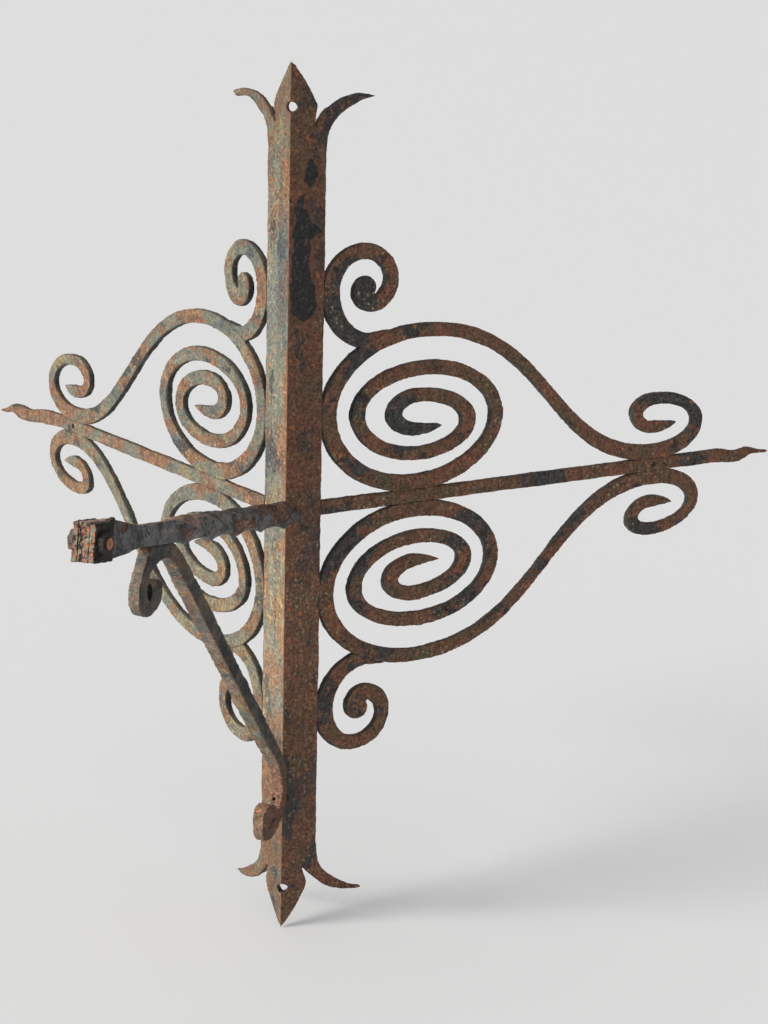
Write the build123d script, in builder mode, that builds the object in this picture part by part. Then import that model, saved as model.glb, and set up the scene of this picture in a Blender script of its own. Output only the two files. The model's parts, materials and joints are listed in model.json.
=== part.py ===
"""Forged outside-corner wall bracket with two scrolled wings, a twisted arm and a brace.

Millimetres. Z runs up the upright, Y runs into the corner of the wall, X is to the right seen
from the front. The origin is on the outer edge of the ridge, half-way between the corner screws.
Each wing lies in its own upright plane at 45 degrees to X, measured by u along the wall from the
ridge and by height from the wing's middle line. The arm and the brace share one upright plane.
"""
import os
from math import cos, radians, sin, sqrt, tan

from build123d import *

os.makedirs("parts", exist_ok=True)

# upright: one angle bar, spear shaped at both ends with two split-off horns at each end
FLANGE_WIDTH = 40.5
FLANGE_THICK = 6.4
HORN_THICK = 4.0
SPEAR_TIP = 432.5
SCREW_Z = 391.0
SCREW_R = 5.0

# wings: flat bar 14 x 6.4 on edge, its front flush with the outer face of the flange
WING_RISE = 1.3
BAR_HALF = 7.0
WELD = 5.4
BAR_THICK = 6.4
BAR_STRAIGHT = 560.0
BAR_NECK = 592.0
BAR_TIP = 629.0
TIP_THICK = 4.0
TIP_BENT = -16.0
NAIL_U = 463.0
NAIL_R = 3.0

# arm: 19 square bar, diamond on the ridge, twisted, then flattened to an upright tongue
ARM_TURN = 10.0
ARM_RISE = 9.0
ARM_DROP = 0.5
ARM_SQUARE = 19.0
TWIST_END = 250.0
TWIST_ANGLE = 418.0
TWIST_STEPS = 28
SHOULDER_START = 327.0
TONGUE_START = 363.0
ARM_END = 404.0
TONGUE_THICK = 10.0
TONGUE_TALL = 33.0
TONGUE_LIFT = 1.5

# hanger at the end of the arm: two cheek plates on a bolt that turns in the tongue
BOLT_BACK = 11.0
BOLT_R = 5.0
RUNNING = 0.05
SIDE_GAP = 0.15
LEFT_CHEEK = 5.5
RIGHT_CHEEK = 5.0
CHEEK_BACK = 21.0
CHEEK_FRONT = 11.0
HEAD_ACROSS = 17.5
HEAD_THICK = 6.0
NUT_THICK = 7.0
BOLT_PROUD = 1.6

# brace: 14 square bar from the foot of the ridge to the underside of the arm
BRACE_HALF = 7.0
FOOT_HOLE_R = 2.0
FOOT_HOLE_OFF = -5.0
FOOT_HOLE_Z = -292.5

ROUND = 0.5523
S = sqrt(0.5)

FLANGE_RIGHT = Plane(origin=(0, 0, 0), x_dir=(S, S, 0), z_dir=(S, -S, 0))
FLANGE_LEFT = Plane(origin=(0, 0, 0), x_dir=(-S, S, 0), z_dir=(S, S, 0))
FRONT = Plane(origin=(0, 0, 0), x_dir=(1, 0, 0), z_dir=(0, -1, 0))

# wing planes, x out along the wall, y away from the wing's middle line; the sign is the inward way
RIGHT_UP = (Plane(origin=(0, 0, WING_RISE), x_dir=(S, S, 0), z_dir=(S, -S, 0)), -1)
RIGHT_DOWN = (Plane(origin=(0, 0, WING_RISE), x_dir=(S, S, 0), z_dir=(-S, S, 0)), 1)
LEFT_UP = (Plane(origin=(0, 0, WING_RISE), x_dir=(-S, S, 0), z_dir=(S, S, 0)), 1)
LEFT_DOWN = (Plane(origin=(0, 0, WING_RISE), x_dir=(-S, S, 0), z_dir=(-S, -S, 0)), -1)

# plan of each wing, x out along the wall, y inward on the right wing and outward on the left
RIGHT_PLAN = Plane(origin=(0, 0, WING_RISE), x_dir=(S, S, 0), z_dir=(0, 0, 1))
LEFT_PLAN = Plane(origin=(0, 0, WING_RISE), x_dir=(-S, S, 0), z_dir=(0, 0, -1))

OUT = Vector(-sin(radians(ARM_TURN)), -cos(radians(ARM_TURN)), 0)
ACROSS = Vector(cos(radians(ARM_TURN)), -sin(radians(ARM_TURN)), 0)
ALONG = OUT * cos(radians(ARM_RISE)) + Vector(0, 0, sin(radians(ARM_RISE)))
ARM_PLANE = Plane(origin=(0, 0, 0), x_dir=OUT, z_dir=ACROSS * -1)
FOOT_VIEW = Plane(origin=OUT * -20, x_dir=ACROSS, z_dir=OUT)
BRACE_PLAN = Plane(origin=(0, 0, -32), x_dir=OUT, z_dir=(0, 0, 1))
BOLT_AT = ARM_END / cos(radians(ARM_RISE)) - BOLT_BACK


def arm_section(reach):
    """Plane square to the arm's axis at a horizontal reach from the ridge."""
    centre = Vector(0, 0, -ARM_DROP) + ALONG * (reach / cos(radians(ARM_RISE)))
    return Plane(origin=centre, x_dir=ACROSS, z_dir=ALONG)


def rounds(points, level):
    """Smooth edge through its extreme points, level and upright there in turn."""
    for (x0, y0), (x1, y1) in zip(points, points[1:]):
        if level:
            Bezier((x0, y0), (x0 + ROUND * (x1 - x0), y0), (x1, y1 - ROUND * (y1 - y0)), (x1, y1))
        else:
            Bezier((x0, y0), (x0, y0 + ROUND * (y1 - y0)), (x1 - ROUND * (x1 - x0), y1), (x1, y1))
        level = not level


def flange_half(way, notch_u, notch_z, root_z, horn_u, horn_z, droop, fork=0):
    """Edge of half a flange: spear point, notch, split-off horn and the straight outer edge."""
    tip = (0, way * SPEAR_TIP)
    shoulder = (30, way * 391)
    notch = (notch_u, way * notch_z)
    horn = (horn_u, way * horn_z)
    root = (FLANGE_WIDTH, way * root_z)
    Line((0, 0), tip)
    Spline(
        tip,
        (12, way * 420),
        (19, way * 411),
        (26.3, way * 399.5),
        shoulder,
        tangents=((1, -way), (0.3, -way)),
    )
    Spline(shoulder, notch, tangents=((-0.2, -way), (-0.25, -way)))
    Spline(
        notch,
        (34, way * 380.3),
        (46.5, way * 392.5),
        (60, way * (399 + droop / 2)),
        (80, way * (402.2 + droop)),
        horn,
        tangents=((0.8, way), (1, -way * 0.3)),
    )
    if fork:
        prong = (horn_u - 2, way * (horn_z - fork))
        Polyline(horn, (horn_u - 6, way * (horn_z - fork / 2)), prong)
        horn = prong
    Spline(
        horn,
        (76, way * (394.8 + droop)),
        (55, way * (382.5 + droop / 2)),
        root,
        tangents=((-1, -way * 0.05), (0, -way)),
    )
    Line(root, (FLANGE_WIDTH, 0))
    Line((FLANGE_WIDTH, 0), (0, 0))


def large_scroll(wing, hold_in, hold_out, slim, tip_top, tip_left, tip_end, core_end):
    """One bar: three-turn oval scroll by the ridge, long S and a small scroll at the wing's tip."""
    plane, inward = wing
    with BuildPart() as piece:
        with BuildSketch(plane):
            with BuildLine():
                rounds(
                    [
                        (159, 175),
                        (39.5, 91),
                        (151, WELD),
                        (258.5, 75),
                        (162, 137),
                        (75, 89.5),
                        (158, 36.5),
                        (225, 72),
                        (154, core_end + 39.5),
                        (116.5, core_end + 15.5),
                        (152, core_end - 8),
                    ],
                    True,
                )
                Bezier((152, core_end - 8), (168, core_end - 8), (184, core_end))
                Line((184, core_end), (153, core_end + 4.5))
                Bezier((153, core_end + 4.5), (139, core_end + 6.5), (134, core_end + 15))
                rounds(
                    [
                        (134, core_end + 15),
                        (154, core_end + 25.5),
                        (207.5, 72),
                        (157, 50),
                        (90, 89.5),
                        (162, 122.8),
                        (243.5, 75),
                        (151, 21.8),
                        (57, 91),
                        (160, 161.3),
                    ],
                    False,
                )
                Bezier((160, 161.3), (158 + hold_in + slim, 161.3), (463 - hold_out + slim, WELD), (465, WELD))
                rounds([(465, WELD), (529.5, 41), (464, tip_top), (tip_left, 59.5), (463, 34.6)], True)
                Bezier((463, 34.6), (478, 34.6), (tip_end, 44.3))
                Bezier((tip_end, 44.3), (476, 47), (461, 47.2))
                rounds([(461, 47.2), (tip_left + 16, 57), (468, tip_top - 12.5), (514.5, 44), (465, 22)], True)
                Bezier((465, 22), (465 - hold_out + 4, 22), (159 + hold_in + 4, 175), (159, 175))
            make_face()
            with Locations((0, 0)):
                Rectangle(FLANGE_WIDTH, 400, align=(Align.MIN, Align.CENTER), mode=Mode.SUBTRACT)
                Rectangle(BAR_STRAIGHT, BAR_HALF, align=(Align.MIN, Align.MIN), mode=Mode.SUBTRACT)
        extrude(amount=inward * BAR_THICK)
    return piece.part


def crook(wing, top, reach, low):
    """Small crook scroll, its tail drawn out over the arch of the large scroll."""
    plane, inward = wing
    with BuildPart() as piece:
        with BuildSketch(plane):
            with BuildLine():
                Polyline((98, 154), (122, 150), (122, 171.5), (98, 169))
                rounds([(98, 169), (58.5, 212), (86, top - 14.5), (reach - 15, 222)], True)
                Spline((reach - 15, 222), (reach - 23.5, 207), tangents=((0, -1), (-0.7, -1)))
                Line((reach - 23.5, 207), (reach - 29, 208))
                Spline((reach - 29, 208), (reach - 26.5, 215), tangents=((0.5, 1), (0, 1)))
                rounds(
                    [
                        (reach - 26.5, 215),
                        (88, top - 32),
                        (74, 211),
                        (97, low),
                        (reach, 221),
                        (86, top),
                        (39.5, 212),
                        (98, 154),
                    ],
                    False,
                )
            make_face()
            with BuildLine():
                rounds([(159, 175), (39.5, 91)], True)
                Polyline((39.5, 91), (159, 91), (159, 175))
            make_face(mode=Mode.SUBTRACT)
            with Locations((0, 0)):
                Rectangle(FLANGE_WIDTH, 800, align=(Align.MIN, Align.CENTER), mode=Mode.SUBTRACT)
        extrude(amount=inward * BAR_THICK)
    return piece.part


# ---------------------------------------------------------------- upright
with BuildPart() as upright:
    with BuildSketch(FLANGE_RIGHT):
        with BuildLine():
            flange_half(1, 24.5, 366, 343, 96, 399, 0)
        make_face()
        with BuildLine():
            flange_half(-1, 22, 367, 341, 98, 407.5, 5)
        make_face()
    extrude(amount=-FLANGE_THICK)
    with BuildSketch(FLANGE_LEFT):
        with BuildLine():
            flange_half(1, 25, 372, 346, 109, 399, 0.5, fork=4)
        make_face()
        with BuildLine():
            flange_half(-1, 25.5, 369, 346, 91, 400.5, 0)
        make_face()
    extrude(amount=FLANGE_THICK)
    with BuildSketch(FLANGE_RIGHT.offset(-HORN_THICK)):
        with Locations((FLANGE_WIDTH + 42, SCREW_Z), (FLANGE_WIDTH + 42, -SCREW_Z)):
            Rectangle(80, 100)
    extrude(amount=-FLANGE_THICK, mode=Mode.SUBTRACT)
    with BuildSketch(FLANGE_LEFT.offset(HORN_THICK)):
        with Locations((FLANGE_WIDTH + 42, SCREW_Z), (FLANGE_WIDTH + 42, -SCREW_Z)):
            Rectangle(80, 100)
    extrude(amount=FLANGE_THICK, mode=Mode.SUBTRACT)
    with BuildSketch(FRONT):
        for side in (1, -1):
            for way in (1, -1):
                with BuildLine():
                    Polyline(
                        (0, way * SPEAR_TIP),
                        (side * 8.5, way * 420),
                        (side * 17.2, way * 404.5),
                        (side * 25, way * 404.5),
                        (side * 25, way * 440),
                        (0, way * 440),
                        (0, way * SPEAR_TIP),
                    )
                make_face()
    extrude(amount=60, both=True, mode=Mode.SUBTRACT)
    with BuildSketch(FRONT):
        with Locations((0, SCREW_Z), (0, -SCREW_Z)):
            Circle(SCREW_R)
    extrude(amount=-30, mode=Mode.SUBTRACT)
upright.part.label = "upright"

# ---------------------------------------------------------------- wing bars
with BuildPart() as right_wing_bar:
    with BuildSketch(RIGHT_UP[0].offset(12)):
        with BuildLine():
            Polyline((FLANGE_WIDTH, -BAR_HALF), (FLANGE_WIDTH, BAR_HALF), (540, BAR_HALF))
            Spline(
                (540, BAR_HALF),
                (565, 6.2),
                (581, 2.6),
                (600, 5),
                (612, 2),
                (BAR_TIP, -1.2),
                tangents=((1, 0), (1, -0.1)),
            )
            Line((BAR_TIP, -1.2), (BAR_TIP, -3.4))
            Spline(
                (BAR_TIP, -3.4),
                (606, -3.5),
                (594, -7.2),
                (581, -9.6),
                (562, -8),
                (540, -BAR_HALF),
                tangents=((-1, -0.05), (-1, 0)),
            )
            Line((540, -BAR_HALF), (FLANGE_WIDTH, -BAR_HALF))
        make_face()
    extrude(amount=-40)
    with BuildSketch(RIGHT_PLAN):
        with BuildLine():
            Polyline((FLANGE_WIDTH, BAR_THICK), (FLANGE_WIDTH, 0), (BAR_STRAIGHT, 0))
            Spline((BAR_STRAIGHT, 0), (BAR_NECK + 6, 2), (BAR_TIP, 2), tangents=((1, 0), (1, 0)))
            Line((BAR_TIP, 2), (BAR_TIP, 2 + TIP_THICK))
            Spline(
                (BAR_TIP, 2 + TIP_THICK),
                (BAR_NECK + 6, 2 + TIP_THICK),
                (BAR_STRAIGHT, BAR_THICK),
                tangents=((-1, 0), (-1, 0)),
            )
            Line((BAR_STRAIGHT, BAR_THICK), (FLANGE_WIDTH, BAR_THICK))
        make_face()
    extrude(amount=30, both=True, mode=Mode.INTERSECT)
    with BuildSketch(RIGHT_UP[0]):
        with Locations((NAIL_U, 0)):
            Circle(NAIL_R)
    extrude(amount=-BAR_THICK, mode=Mode.SUBTRACT)
right_wing_bar.part.label = "right_wing_bar"

with BuildPart() as left_wing_bar:
    with BuildSketch(LEFT_UP[0].offset(-40)):
        with BuildLine():
            Polyline((FLANGE_WIDTH, -BAR_HALF), (FLANGE_WIDTH, BAR_HALF), (500, BAR_HALF))
            Spline(
                (500, BAR_HALF),
                (530, 6),
                (556, 3.8),
                (580, 0.6),
                (599, 3.1),
                (612, -0.4),
                (BAR_TIP, -7),
                tangents=((1, 0), (1, -0.15)),
            )
            Line((BAR_TIP, -7), (BAR_TIP, -9.1))
            Spline(
                (BAR_TIP, -9.1),
                (618, -9),
                (607, -7.6),
                (597, -12.2),
                (582, -14),
                (560, -11.8),
                (528, -9.2),
                (500, -BAR_HALF),
                tangents=((-1, 0), (-1, 0.05)),
            )
            Line((500, -BAR_HALF), (FLANGE_WIDTH, -BAR_HALF))
        make_face()
    extrude(amount=60)
    with BuildSketch(LEFT_PLAN):
        with BuildLine():
            Polyline((FLANGE_WIDTH, BAR_THICK), (FLANGE_WIDTH, 0), (520, 0))
            Spline((520, 0), (BAR_NECK, -7), (BAR_TIP, TIP_BENT), tangents=((1, 0), (1, -0.3)))
            Line((BAR_TIP, TIP_BENT), (BAR_TIP, TIP_BENT + TIP_THICK - 0.5))
            Spline(
                (BAR_TIP, TIP_BENT + TIP_THICK - 0.5),
                (BAR_NECK, -2),
                (520, BAR_THICK),
                tangents=((-1, 0.3), (-1, 0)),
            )
            Line((520, BAR_THICK), (FLANGE_WIDTH, BAR_THICK))
        make_face()
    extrude(amount=30, both=True, mode=Mode.INTERSECT)
    with BuildSketch(LEFT_UP[0]):
        with Locations((NAIL_U + 4, 0)):
            Circle(NAIL_R)
    extrude(amount=BAR_THICK, mode=Mode.SUBTRACT)
left_wing_bar.part.label = "left_wing_bar"

# ---------------------------------------------------------------- scrolls of the two wings
with BuildPart() as right_upper_scroll:
    add(large_scroll(RIGHT_UP, 158, 146, 1, 78.4, 429.5, 492, 70))
right_upper_scroll.part.label = "right_upper_scroll"

with BuildPart() as right_lower_scroll:
    add(large_scroll(RIGHT_DOWN, 158, 146, 3, 78.4, 429.5, 492, 70))
right_lower_scroll.part.label = "right_lower_scroll"

with BuildPart() as left_upper_scroll:
    add(large_scroll(LEFT_UP, 152, 126, -2, 82.5, 423.5, 486, 74))
left_upper_scroll.part.label = "left_upper_scroll"

with BuildPart() as left_lower_scroll:
    add(large_scroll(LEFT_DOWN, 152, 126, -2, 76.5, 427, 493, 70.5))
left_lower_scroll.part.label = "left_lower_scroll"

with BuildPart() as right_upper_crook:
    add(crook(RIGHT_UP, 257.5, 126.5, 190.5))
right_upper_crook.part.label = "right_upper_crook"

with BuildPart() as right_lower_crook:
    add(crook(RIGHT_DOWN, 257.5, 126.5, 190.5))
right_lower_crook.part.label = "right_lower_crook"

with BuildPart() as left_upper_crook:
    add(crook(LEFT_UP, 255.5, 122.5, 189.5))
left_upper_crook.part.label = "left_upper_crook"

with BuildPart() as left_lower_crook:
    add(crook(LEFT_DOWN, 258.5, 130, 190.5))
left_lower_crook.part.label = "left_lower_crook"

# ---------------------------------------------------------------- arm
BOLT_POINT = Vector(0, 0, -ARM_DROP) + ALONG * BOLT_AT + arm_section(0).y_dir * TONGUE_LIFT
SIDE = Plane(origin=BOLT_POINT, x_dir=ALONG, z_dir=ACROSS * -1)

with BuildPart() as arm:
    with BuildSketch(arm_section(-24)):
        Rectangle(ARM_SQUARE, ARM_SQUARE, rotation=45)
    for step in range(TWIST_STEPS + 1):
        with BuildSketch(arm_section(TWIST_END * step / TWIST_STEPS)):
            Rectangle(ARM_SQUARE, ARM_SQUARE, rotation=45 + TWIST_ANGLE * step / TWIST_STEPS)
    with BuildSketch(arm_section(SHOULDER_START)):
        Rectangle(ARM_SQUARE, ARM_SQUARE, rotation=45 + TWIST_ANGLE)
    with BuildSketch(arm_section((SHOULDER_START + TONGUE_START) / 2)):
        with Locations((0, TONGUE_LIFT / 2)):
            Rectangle(27, 14.5, rotation=455)
    for reach in (TONGUE_START, ARM_END):
        with BuildSketch(arm_section(reach)):
            with Locations((0, TONGUE_LIFT)):
                Rectangle(TONGUE_TALL, TONGUE_THICK, rotation=450)
    loft(ruled=True)
    with BuildSketch(Plane.XY.offset(-60)):
        with BuildLine():
            Polyline((0, 0), (60, 60), (-60, 60), (0, 0))
        make_face()
    extrude(amount=120, mode=Mode.SUBTRACT)
    with BuildSketch(SIDE):
        Circle(BOLT_R + RUNNING)
    extrude(amount=20, both=True, mode=Mode.SUBTRACT)
arm.part.label = "arm"

# ---------------------------------------------------------------- brace
with BuildPart() as brace:
    with BuildSketch(ARM_PLANE):
        with BuildLine():
            Line((-12, -272.4), (205, -20))
            Spline((205, -20), (231, 9.5), (258, 33), (285, 41), tangents=((0.652, 0.758), (1, 0)))
            Spline((285, 41), (306, 27), (317, 10), (321, -5), tangents=((1, 0), (0, -1)))
            rounds([(321, -5), (300, -23.5), (277, -5), (300, 8)], False)
            Line((300, 8), (302, 9))
            Spline(
                (302, 9),
                (292, 18),
                (278, 21),
                (262, 18.5),
                (250, 10.5),
                (238, -3.4),
                tangents=((-0.3, 1), (-0.652, -0.758)),
            )
            Line((238, -3.4), (70, -198.7))
            Spline(
                (70, -198.7),
                (27.4, -244),
                (9.5, -266),
                (6, -281),
                (18, -303),
                tangents=((-0.652, -0.758), (1, -0.8)),
            )
            Spline((18, -303), (27, -308.5), (43, -312.5), tangents=((1, -0.8), (1, 0)))
            Line((43, -312.5), (43, -311.1))
            Spline((43, -311.1), (29, -306), (19.4, -300), tangents=((-1, 0.1), (-0.3, 1)))
            rounds([(19.4, -300), (37, -288.5), (54.8, -306), (37, -324)], False)
            Spline((37, -324), (15, -315.5), (2, -304), (-12, -299), tangents=((-1, 0), (-1, 0.3)))
            Line((-12, -299), (-12, -272.4))
        make_face()
        with Locations((302, -2)):
            Ellipse(4, 6.5, mode=Mode.SUBTRACT)
    extrude(amount=12, both=True)
    with BuildSketch(FOOT_VIEW):
        with BuildLine():
            Polyline(
                (-BRACE_HALF, 60),
                (BRACE_HALF, 60),
                (BRACE_HALF, -236),
                (3.5, -266),
                (3.5, -330),
                (-7, -330),
                (-7, -306),
                (-10.5, -288),
                (-10.5, -272),
                (-BRACE_HALF, -236),
                (-BRACE_HALF, 60),
            )
        make_face()
    extrude(amount=400, mode=Mode.INTERSECT)
    with BuildSketch(BRACE_PLAN):
        with BuildLine():
            Polyline((240, -BRACE_HALF), (290, -3.5), (330, -3.5), (330, -9), (240, -BRACE_HALF))
        make_face()
    extrude(amount=70, mode=Mode.SUBTRACT)
    add(arm.part, mode=Mode.SUBTRACT)
    with BuildSketch(Plane.XY.offset(-340)):
        with BuildLine():
            Polyline((0, 0), (60, 60), (-60, 60), (0, 0))
        make_face()
    extrude(amount=120, mode=Mode.SUBTRACT)
    with BuildSketch(FOOT_VIEW):
        with Locations((FOOT_HOLE_OFF, FOOT_HOLE_Z)):
            Circle(FOOT_HOLE_R)
    extrude(amount=40, mode=Mode.SUBTRACT)
brace.part.label = "brace"

# ---------------------------------------------------------------- hanger at the arm's end
with BuildPart() as left_cheek:
    with BuildSketch(SIDE.offset(TONGUE_THICK / 2 + SIDE_GAP)):
        with BuildLine():
            Polyline(
                (-CHEEK_BACK, -16),
                (CHEEK_FRONT, -16.5),
                (CHEEK_FRONT, 16),
                (-CHEEK_BACK, 16.5),
                (-CHEEK_BACK, -16),
            )
        make_face()
        Circle(BOLT_R + RUNNING, mode=Mode.SUBTRACT)
    extrude(amount=LEFT_CHEEK)
left_cheek.part.label = "left_cheek"

with BuildPart() as right_cheek:
    with BuildSketch(SIDE.offset(-TONGUE_THICK / 2 - SIDE_GAP)):
        with BuildLine():
            Polyline(
                (-CHEEK_BACK, -16.5),
                (CHEEK_FRONT, -16),
                (CHEEK_FRONT, 15.5),
                (-CHEEK_BACK + 10, 16.5),
                (-CHEEK_BACK, 19.5),
                (-CHEEK_BACK, -16.5),
            )
        make_face()
        Circle(BOLT_R + RUNNING, mode=Mode.SUBTRACT)
    extrude(amount=-RIGHT_CHEEK)
right_cheek.part.label = "right_cheek"

with BuildPart() as end_bolt:
    with BuildSketch(SIDE.offset(TONGUE_THICK / 2 + SIDE_GAP + LEFT_CHEEK)):
        RegularPolygon(HEAD_ACROSS / 2, 6, major_radius=False, rotation=10)
    extrude(amount=HEAD_THICK)
    with BuildSketch(SIDE.offset(TONGUE_THICK / 2 + SIDE_GAP + LEFT_CHEEK)):
        Circle(BOLT_R)
    extrude(amount=-(TONGUE_THICK + 2 * SIDE_GAP + LEFT_CHEEK + RIGHT_CHEEK + NUT_THICK + BOLT_PROUD))
end_bolt.part.label = "end_bolt"

with BuildPart() as end_nut:
    with BuildSketch(SIDE.offset(-TONGUE_THICK / 2 - SIDE_GAP - RIGHT_CHEEK)):
        RegularPolygon(HEAD_ACROSS / 2, 6, major_radius=False, rotation=24)
        Circle(BOLT_R, mode=Mode.SUBTRACT)
    extrude(amount=-NUT_THICK)
end_nut.part.label = "end_nut"

export_step(upright.part, "parts/upright.step")
export_step(right_wing_bar.part, "parts/right_wing_bar.step")
export_step(left_wing_bar.part, "parts/left_wing_bar.step")
export_step(right_upper_scroll.part, "parts/right_upper_scroll.step")
export_step(right_lower_scroll.part, "parts/right_lower_scroll.step")
export_step(left_upper_scroll.part, "parts/left_upper_scroll.step")
export_step(left_lower_scroll.part, "parts/left_lower_scroll.step")
export_step(right_upper_crook.part, "parts/right_upper_crook.step")
export_step(right_lower_crook.part, "parts/right_lower_crook.step")
export_step(left_upper_crook.part, "parts/left_upper_crook.step")
export_step(left_lower_crook.part, "parts/left_lower_crook.step")
export_step(arm.part, "parts/arm.step")
export_step(brace.part, "parts/brace.step")
export_step(left_cheek.part, "parts/left_cheek.step")
export_step(right_cheek.part, "parts/right_cheek.step")
export_step(end_bolt.part, "parts/end_bolt.step")
export_step(end_nut.part, "parts/end_nut.step")
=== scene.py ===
"""Hand-forged wrought-iron corner bracket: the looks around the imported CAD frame.

Every CAD node is stood for by a forged copy of itself: the same bar, with hammered faces and
softened edges.
Four families of surface are mixed on it: pale weathered paint, brown rust, slate paint and
flaking scale.
Part frame: origin on the outer ridge of the upright, +Z up, +Y into the corner of the wall, metres.
"""

import json
import math

import bmesh
import bpy
from mathutils import Matrix, Vector

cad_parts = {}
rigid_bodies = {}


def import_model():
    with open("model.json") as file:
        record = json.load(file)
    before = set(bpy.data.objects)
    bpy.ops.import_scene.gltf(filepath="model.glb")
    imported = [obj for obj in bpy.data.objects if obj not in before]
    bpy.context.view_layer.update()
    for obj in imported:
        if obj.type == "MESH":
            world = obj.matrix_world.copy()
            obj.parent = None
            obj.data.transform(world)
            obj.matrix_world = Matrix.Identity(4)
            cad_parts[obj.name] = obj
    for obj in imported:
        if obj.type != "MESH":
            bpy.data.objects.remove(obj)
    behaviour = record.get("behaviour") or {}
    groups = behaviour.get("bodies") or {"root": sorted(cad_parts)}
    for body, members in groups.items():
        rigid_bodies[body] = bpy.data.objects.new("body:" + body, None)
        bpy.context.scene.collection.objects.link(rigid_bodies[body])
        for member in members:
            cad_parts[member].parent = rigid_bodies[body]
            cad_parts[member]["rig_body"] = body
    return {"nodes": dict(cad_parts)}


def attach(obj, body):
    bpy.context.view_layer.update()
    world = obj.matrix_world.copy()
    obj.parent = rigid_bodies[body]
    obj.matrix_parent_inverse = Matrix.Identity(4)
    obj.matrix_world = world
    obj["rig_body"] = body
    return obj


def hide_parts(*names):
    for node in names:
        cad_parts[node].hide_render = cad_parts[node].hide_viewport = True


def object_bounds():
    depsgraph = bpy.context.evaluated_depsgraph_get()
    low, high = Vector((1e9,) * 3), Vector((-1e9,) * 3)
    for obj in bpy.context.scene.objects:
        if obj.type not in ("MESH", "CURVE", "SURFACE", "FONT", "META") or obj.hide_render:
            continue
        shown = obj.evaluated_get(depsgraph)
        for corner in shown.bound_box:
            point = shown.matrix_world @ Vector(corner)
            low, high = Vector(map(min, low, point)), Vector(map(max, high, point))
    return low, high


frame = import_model()
cad_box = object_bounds()

# The two wings stand on walls that meet at a right angle; the arm stands out between them.
SLANT = math.sqrt(0.5)
LEFT_FACE = (-SLANT, -SLANT, 0.0)  # outward normal of the left flange and left wing
RIGHT_FACE = (SLANT, -SLANT, 0.0)
ARM_TURN = math.radians(10)
ARM_OUT = (-math.sin(ARM_TURN), -math.cos(ARM_TURN), 0.0)
ARM_RIGHT = (math.cos(ARM_TURN), -math.sin(ARM_TURN), 0.0)
TONGUE_HALF = 0.005  # half the thickness of the arm's flattened end
TONGUE_FROM = 0.366  # where that end begins, out from the ridge

# Colours that more than one surface uses.
# Black painted as the shade inside holes.
HOLE_SHADE = (0.008, 0.007, 0.006)
# Near-black for cracks and splits, and for painted shade over the nut.
CRACK_AND_SHADE_DARK = (0.012, 0.010, 0.009)
WORN_EDGE = (0.24, 0.11, 0.067)
FRESH_RUST = (0.66, 0.195, 0.078)

# ---------------------------------------------------------------- camera
LENS = 81.91
CAMERA_AT = Vector((0.52487, -2.13854, 0.54031))
LOOK = Vector((-0.19039, 0.95273, -0.23676))
RIGHT = Vector((0.97932, 0.20113, 0.02184))


def new_object(name, data):
    """A new object in the scene's own collection."""
    thing = bpy.data.objects.new(name, data)
    bpy.context.scene.collection.objects.link(thing)
    return thing


def aim_camera():
    data = bpy.data.cameras.new("camera")
    data.lens = LENS
    data.sensor_width = 36.0
    data.clip_start = 0.05
    data.clip_end = 400.0
    camera = new_object("camera", data)
    back = -LOOK.normalized()
    up = back.cross(RIGHT).normalized()
    right = up.cross(back).normalized()
    turn = Matrix((right, up, back)).transposed().to_4x4()
    camera.matrix_world = Matrix.Translation(CAMERA_AT) @ turn
    bpy.context.scene.camera = camera


aim_camera()
bpy.context.scene.view_settings.view_transform = "Standard"


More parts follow.
